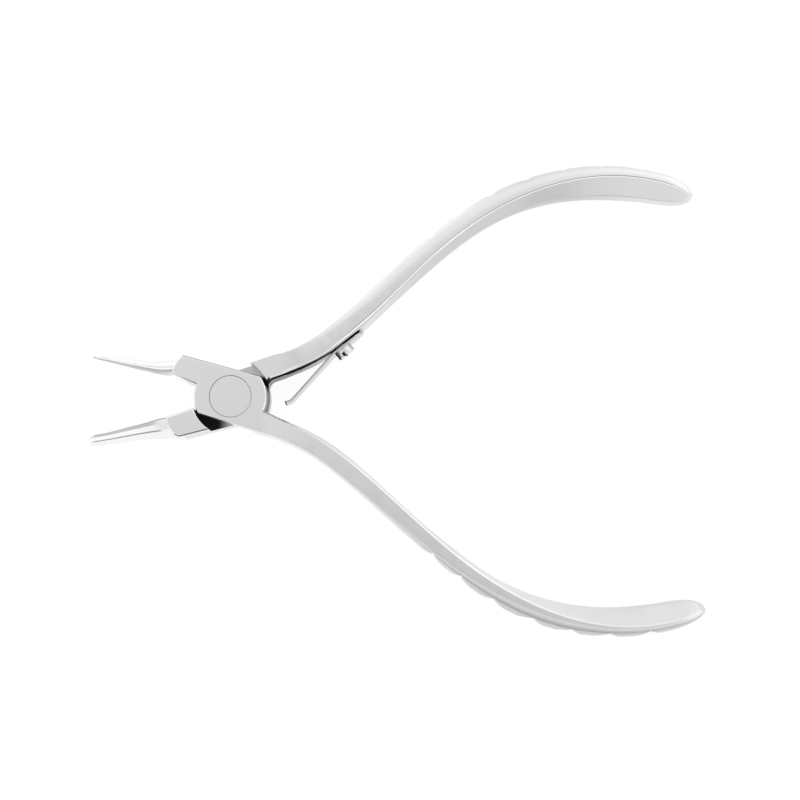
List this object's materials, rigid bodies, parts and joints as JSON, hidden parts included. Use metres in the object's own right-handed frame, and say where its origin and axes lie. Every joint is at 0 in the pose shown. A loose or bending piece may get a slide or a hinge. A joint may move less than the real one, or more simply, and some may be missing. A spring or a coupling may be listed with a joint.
{
  "type": "orthodontic pliers",
  "caption": "Orthodontic pliers with slender round and square beaks, a flush riveted lap joint, scalloped bow handles and a screwed leaf spring that opens them.",
  "frame": {"origin": "pivot axis at the flat back of the joint", "axes": "+X from the joint towards the handle ends, +Z along the pivot towards the flush rivet head, so the pliers lie flat on their back"},
  "size_m": [0.1219, 0.0945, 0.008],
  "materials": {
    "satin_steel": "fine satin, polished beaks and edges",
    "pivot_steel": "fine satin, ground flush",
    "spring_steel": "drawn spring strip",
    "screw_steel": "turned and polished"
  },
  "bodies": {
    "rear": {"rear_half": "satin_steel", "pivot_rivet": "pivot_steel", "leaf_spring_foot": "spring_steel", "spring_screw": "screw_steel"},
    "front": {"front_half": "satin_steel"},
    "blade": {"leaf_spring_blade": "spring_steel"}
  },
  "joints": [
    {"name": "jaw_pivot", "type": "hinge", "parent": "rear", "child": "front", "pos_m": [0, 0, 0], "axis": [0, 0, 1], "range_deg": [0, 31], "stiffness_Nm_per_rad": 0.5},
    {"name": "spring_flexure", "type": "hinge", "parent": "rear", "child": "blade", "pos_m": [0.02032, 0.00911, 0.004], "axis": [0, 0, 1], "range_deg": [-13.4, 0]}
  ],
  "couplings": [
    {"joint": "spring_flexure", "follows": "jaw_pivot", "ratio": -0.43}
  ]
}
